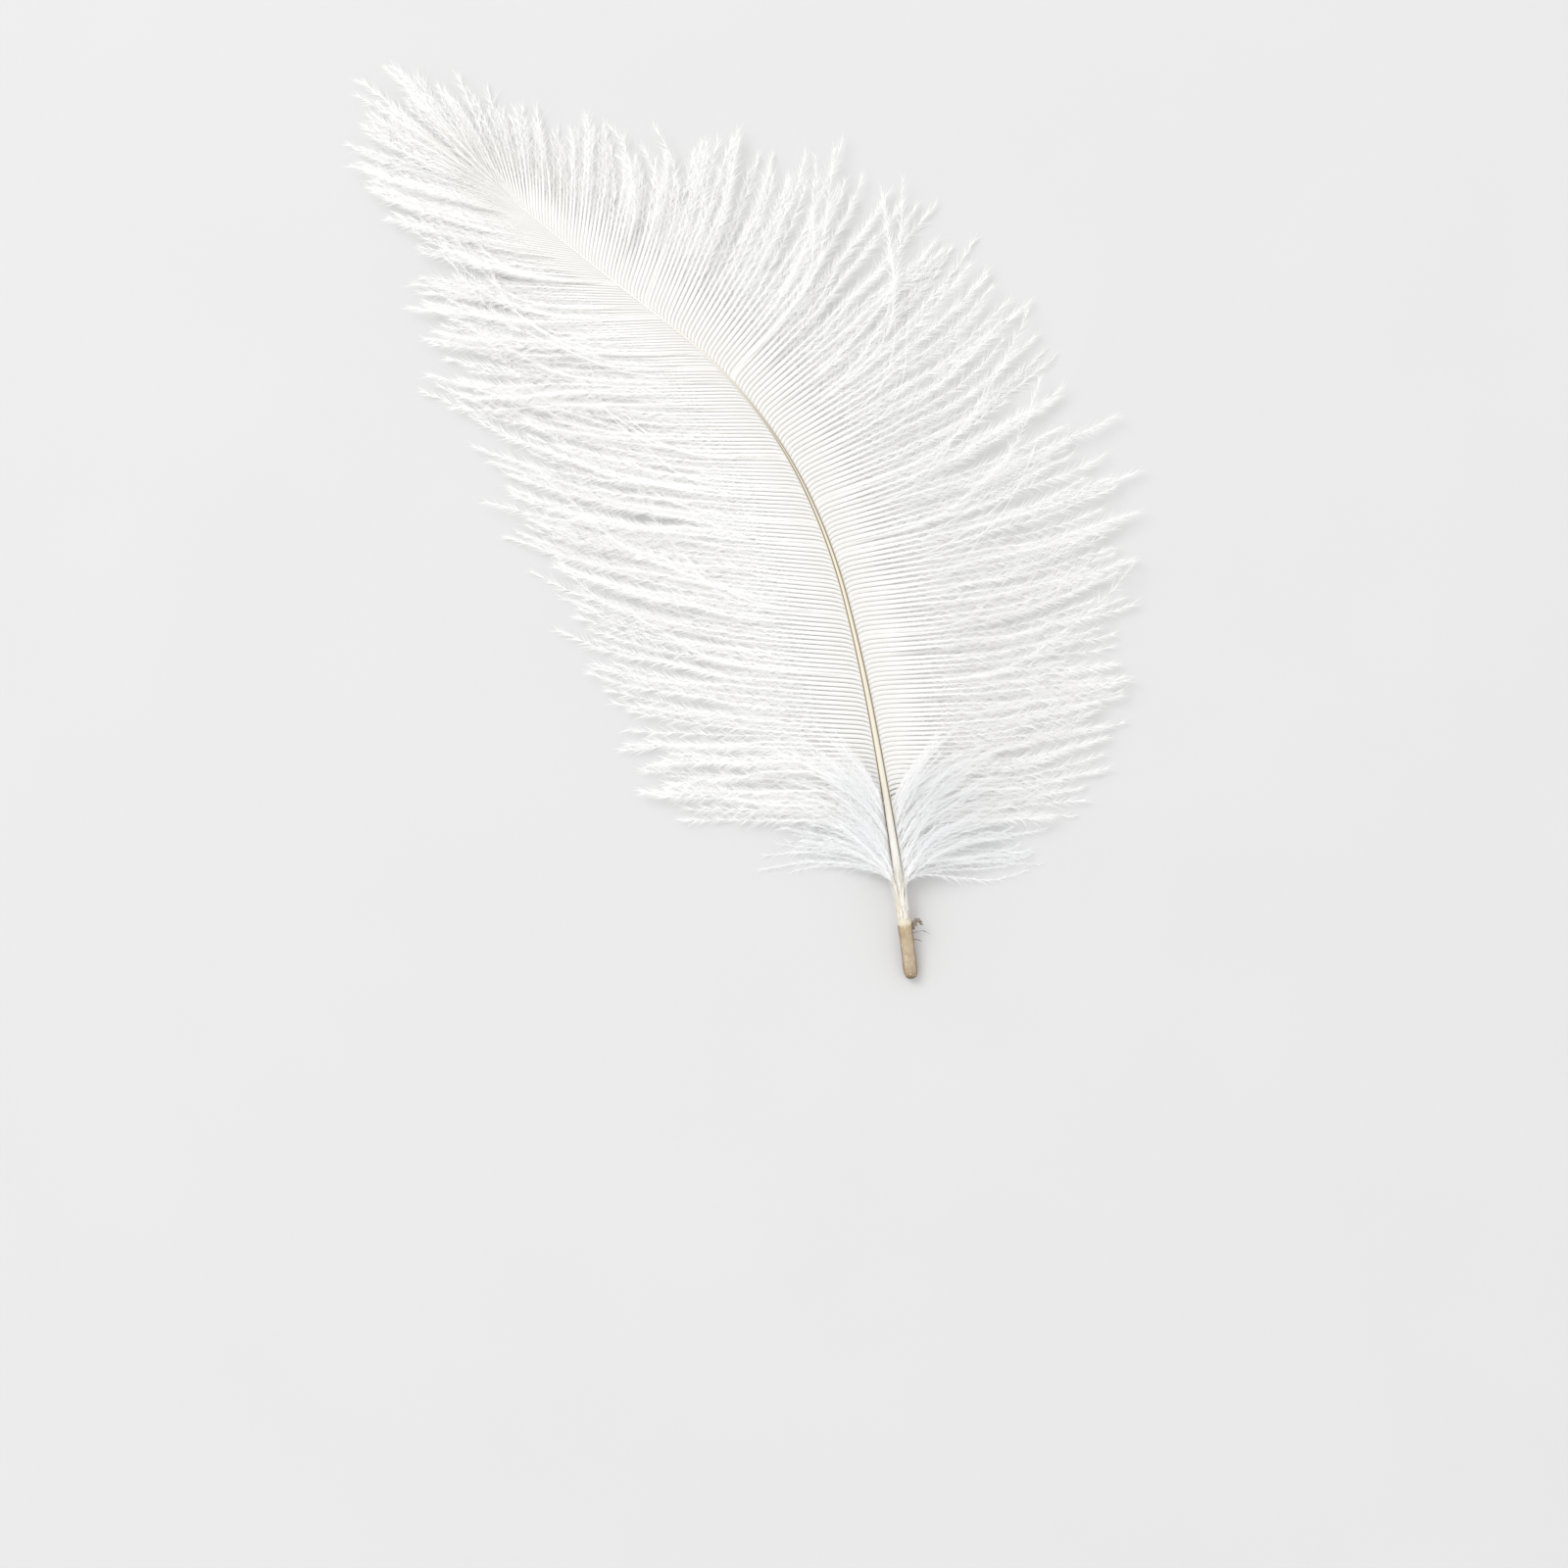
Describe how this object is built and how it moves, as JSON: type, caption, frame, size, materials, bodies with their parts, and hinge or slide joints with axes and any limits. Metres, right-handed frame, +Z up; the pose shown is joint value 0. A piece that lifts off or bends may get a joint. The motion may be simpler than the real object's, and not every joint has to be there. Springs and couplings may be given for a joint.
{
  "type": "ostrich feather",
  "caption": "White ostrich body feather lying on a flat surface: a bare quill and curved shaft, soft open vanes and downy tufts.",
  "frame": {"origin": "on the surface the feather lies on, under the middle of its bounding box", "axes": "+Y from the quill's end to the feather's tip, +X to its right seen from above, +Z up out of the surface, towards the feather's back side"},
  "size_m": [0.1003, 0.1789, 0.009],
  "materials": {
    "horn": "smooth dry horn: tan on the bare quill, cream on the rachis, with a thin brown line along each edge",
    "down": "matte pure white down",
    "vane": "matte white barbs with a soft silky light on them"
  },
  "bodies": {
    "root": {"shaft": "horn", "left_down": "down", "right_down": "down", "left_vane": "vane", "right_vane": "vane"}
  },
  "joints": []
}
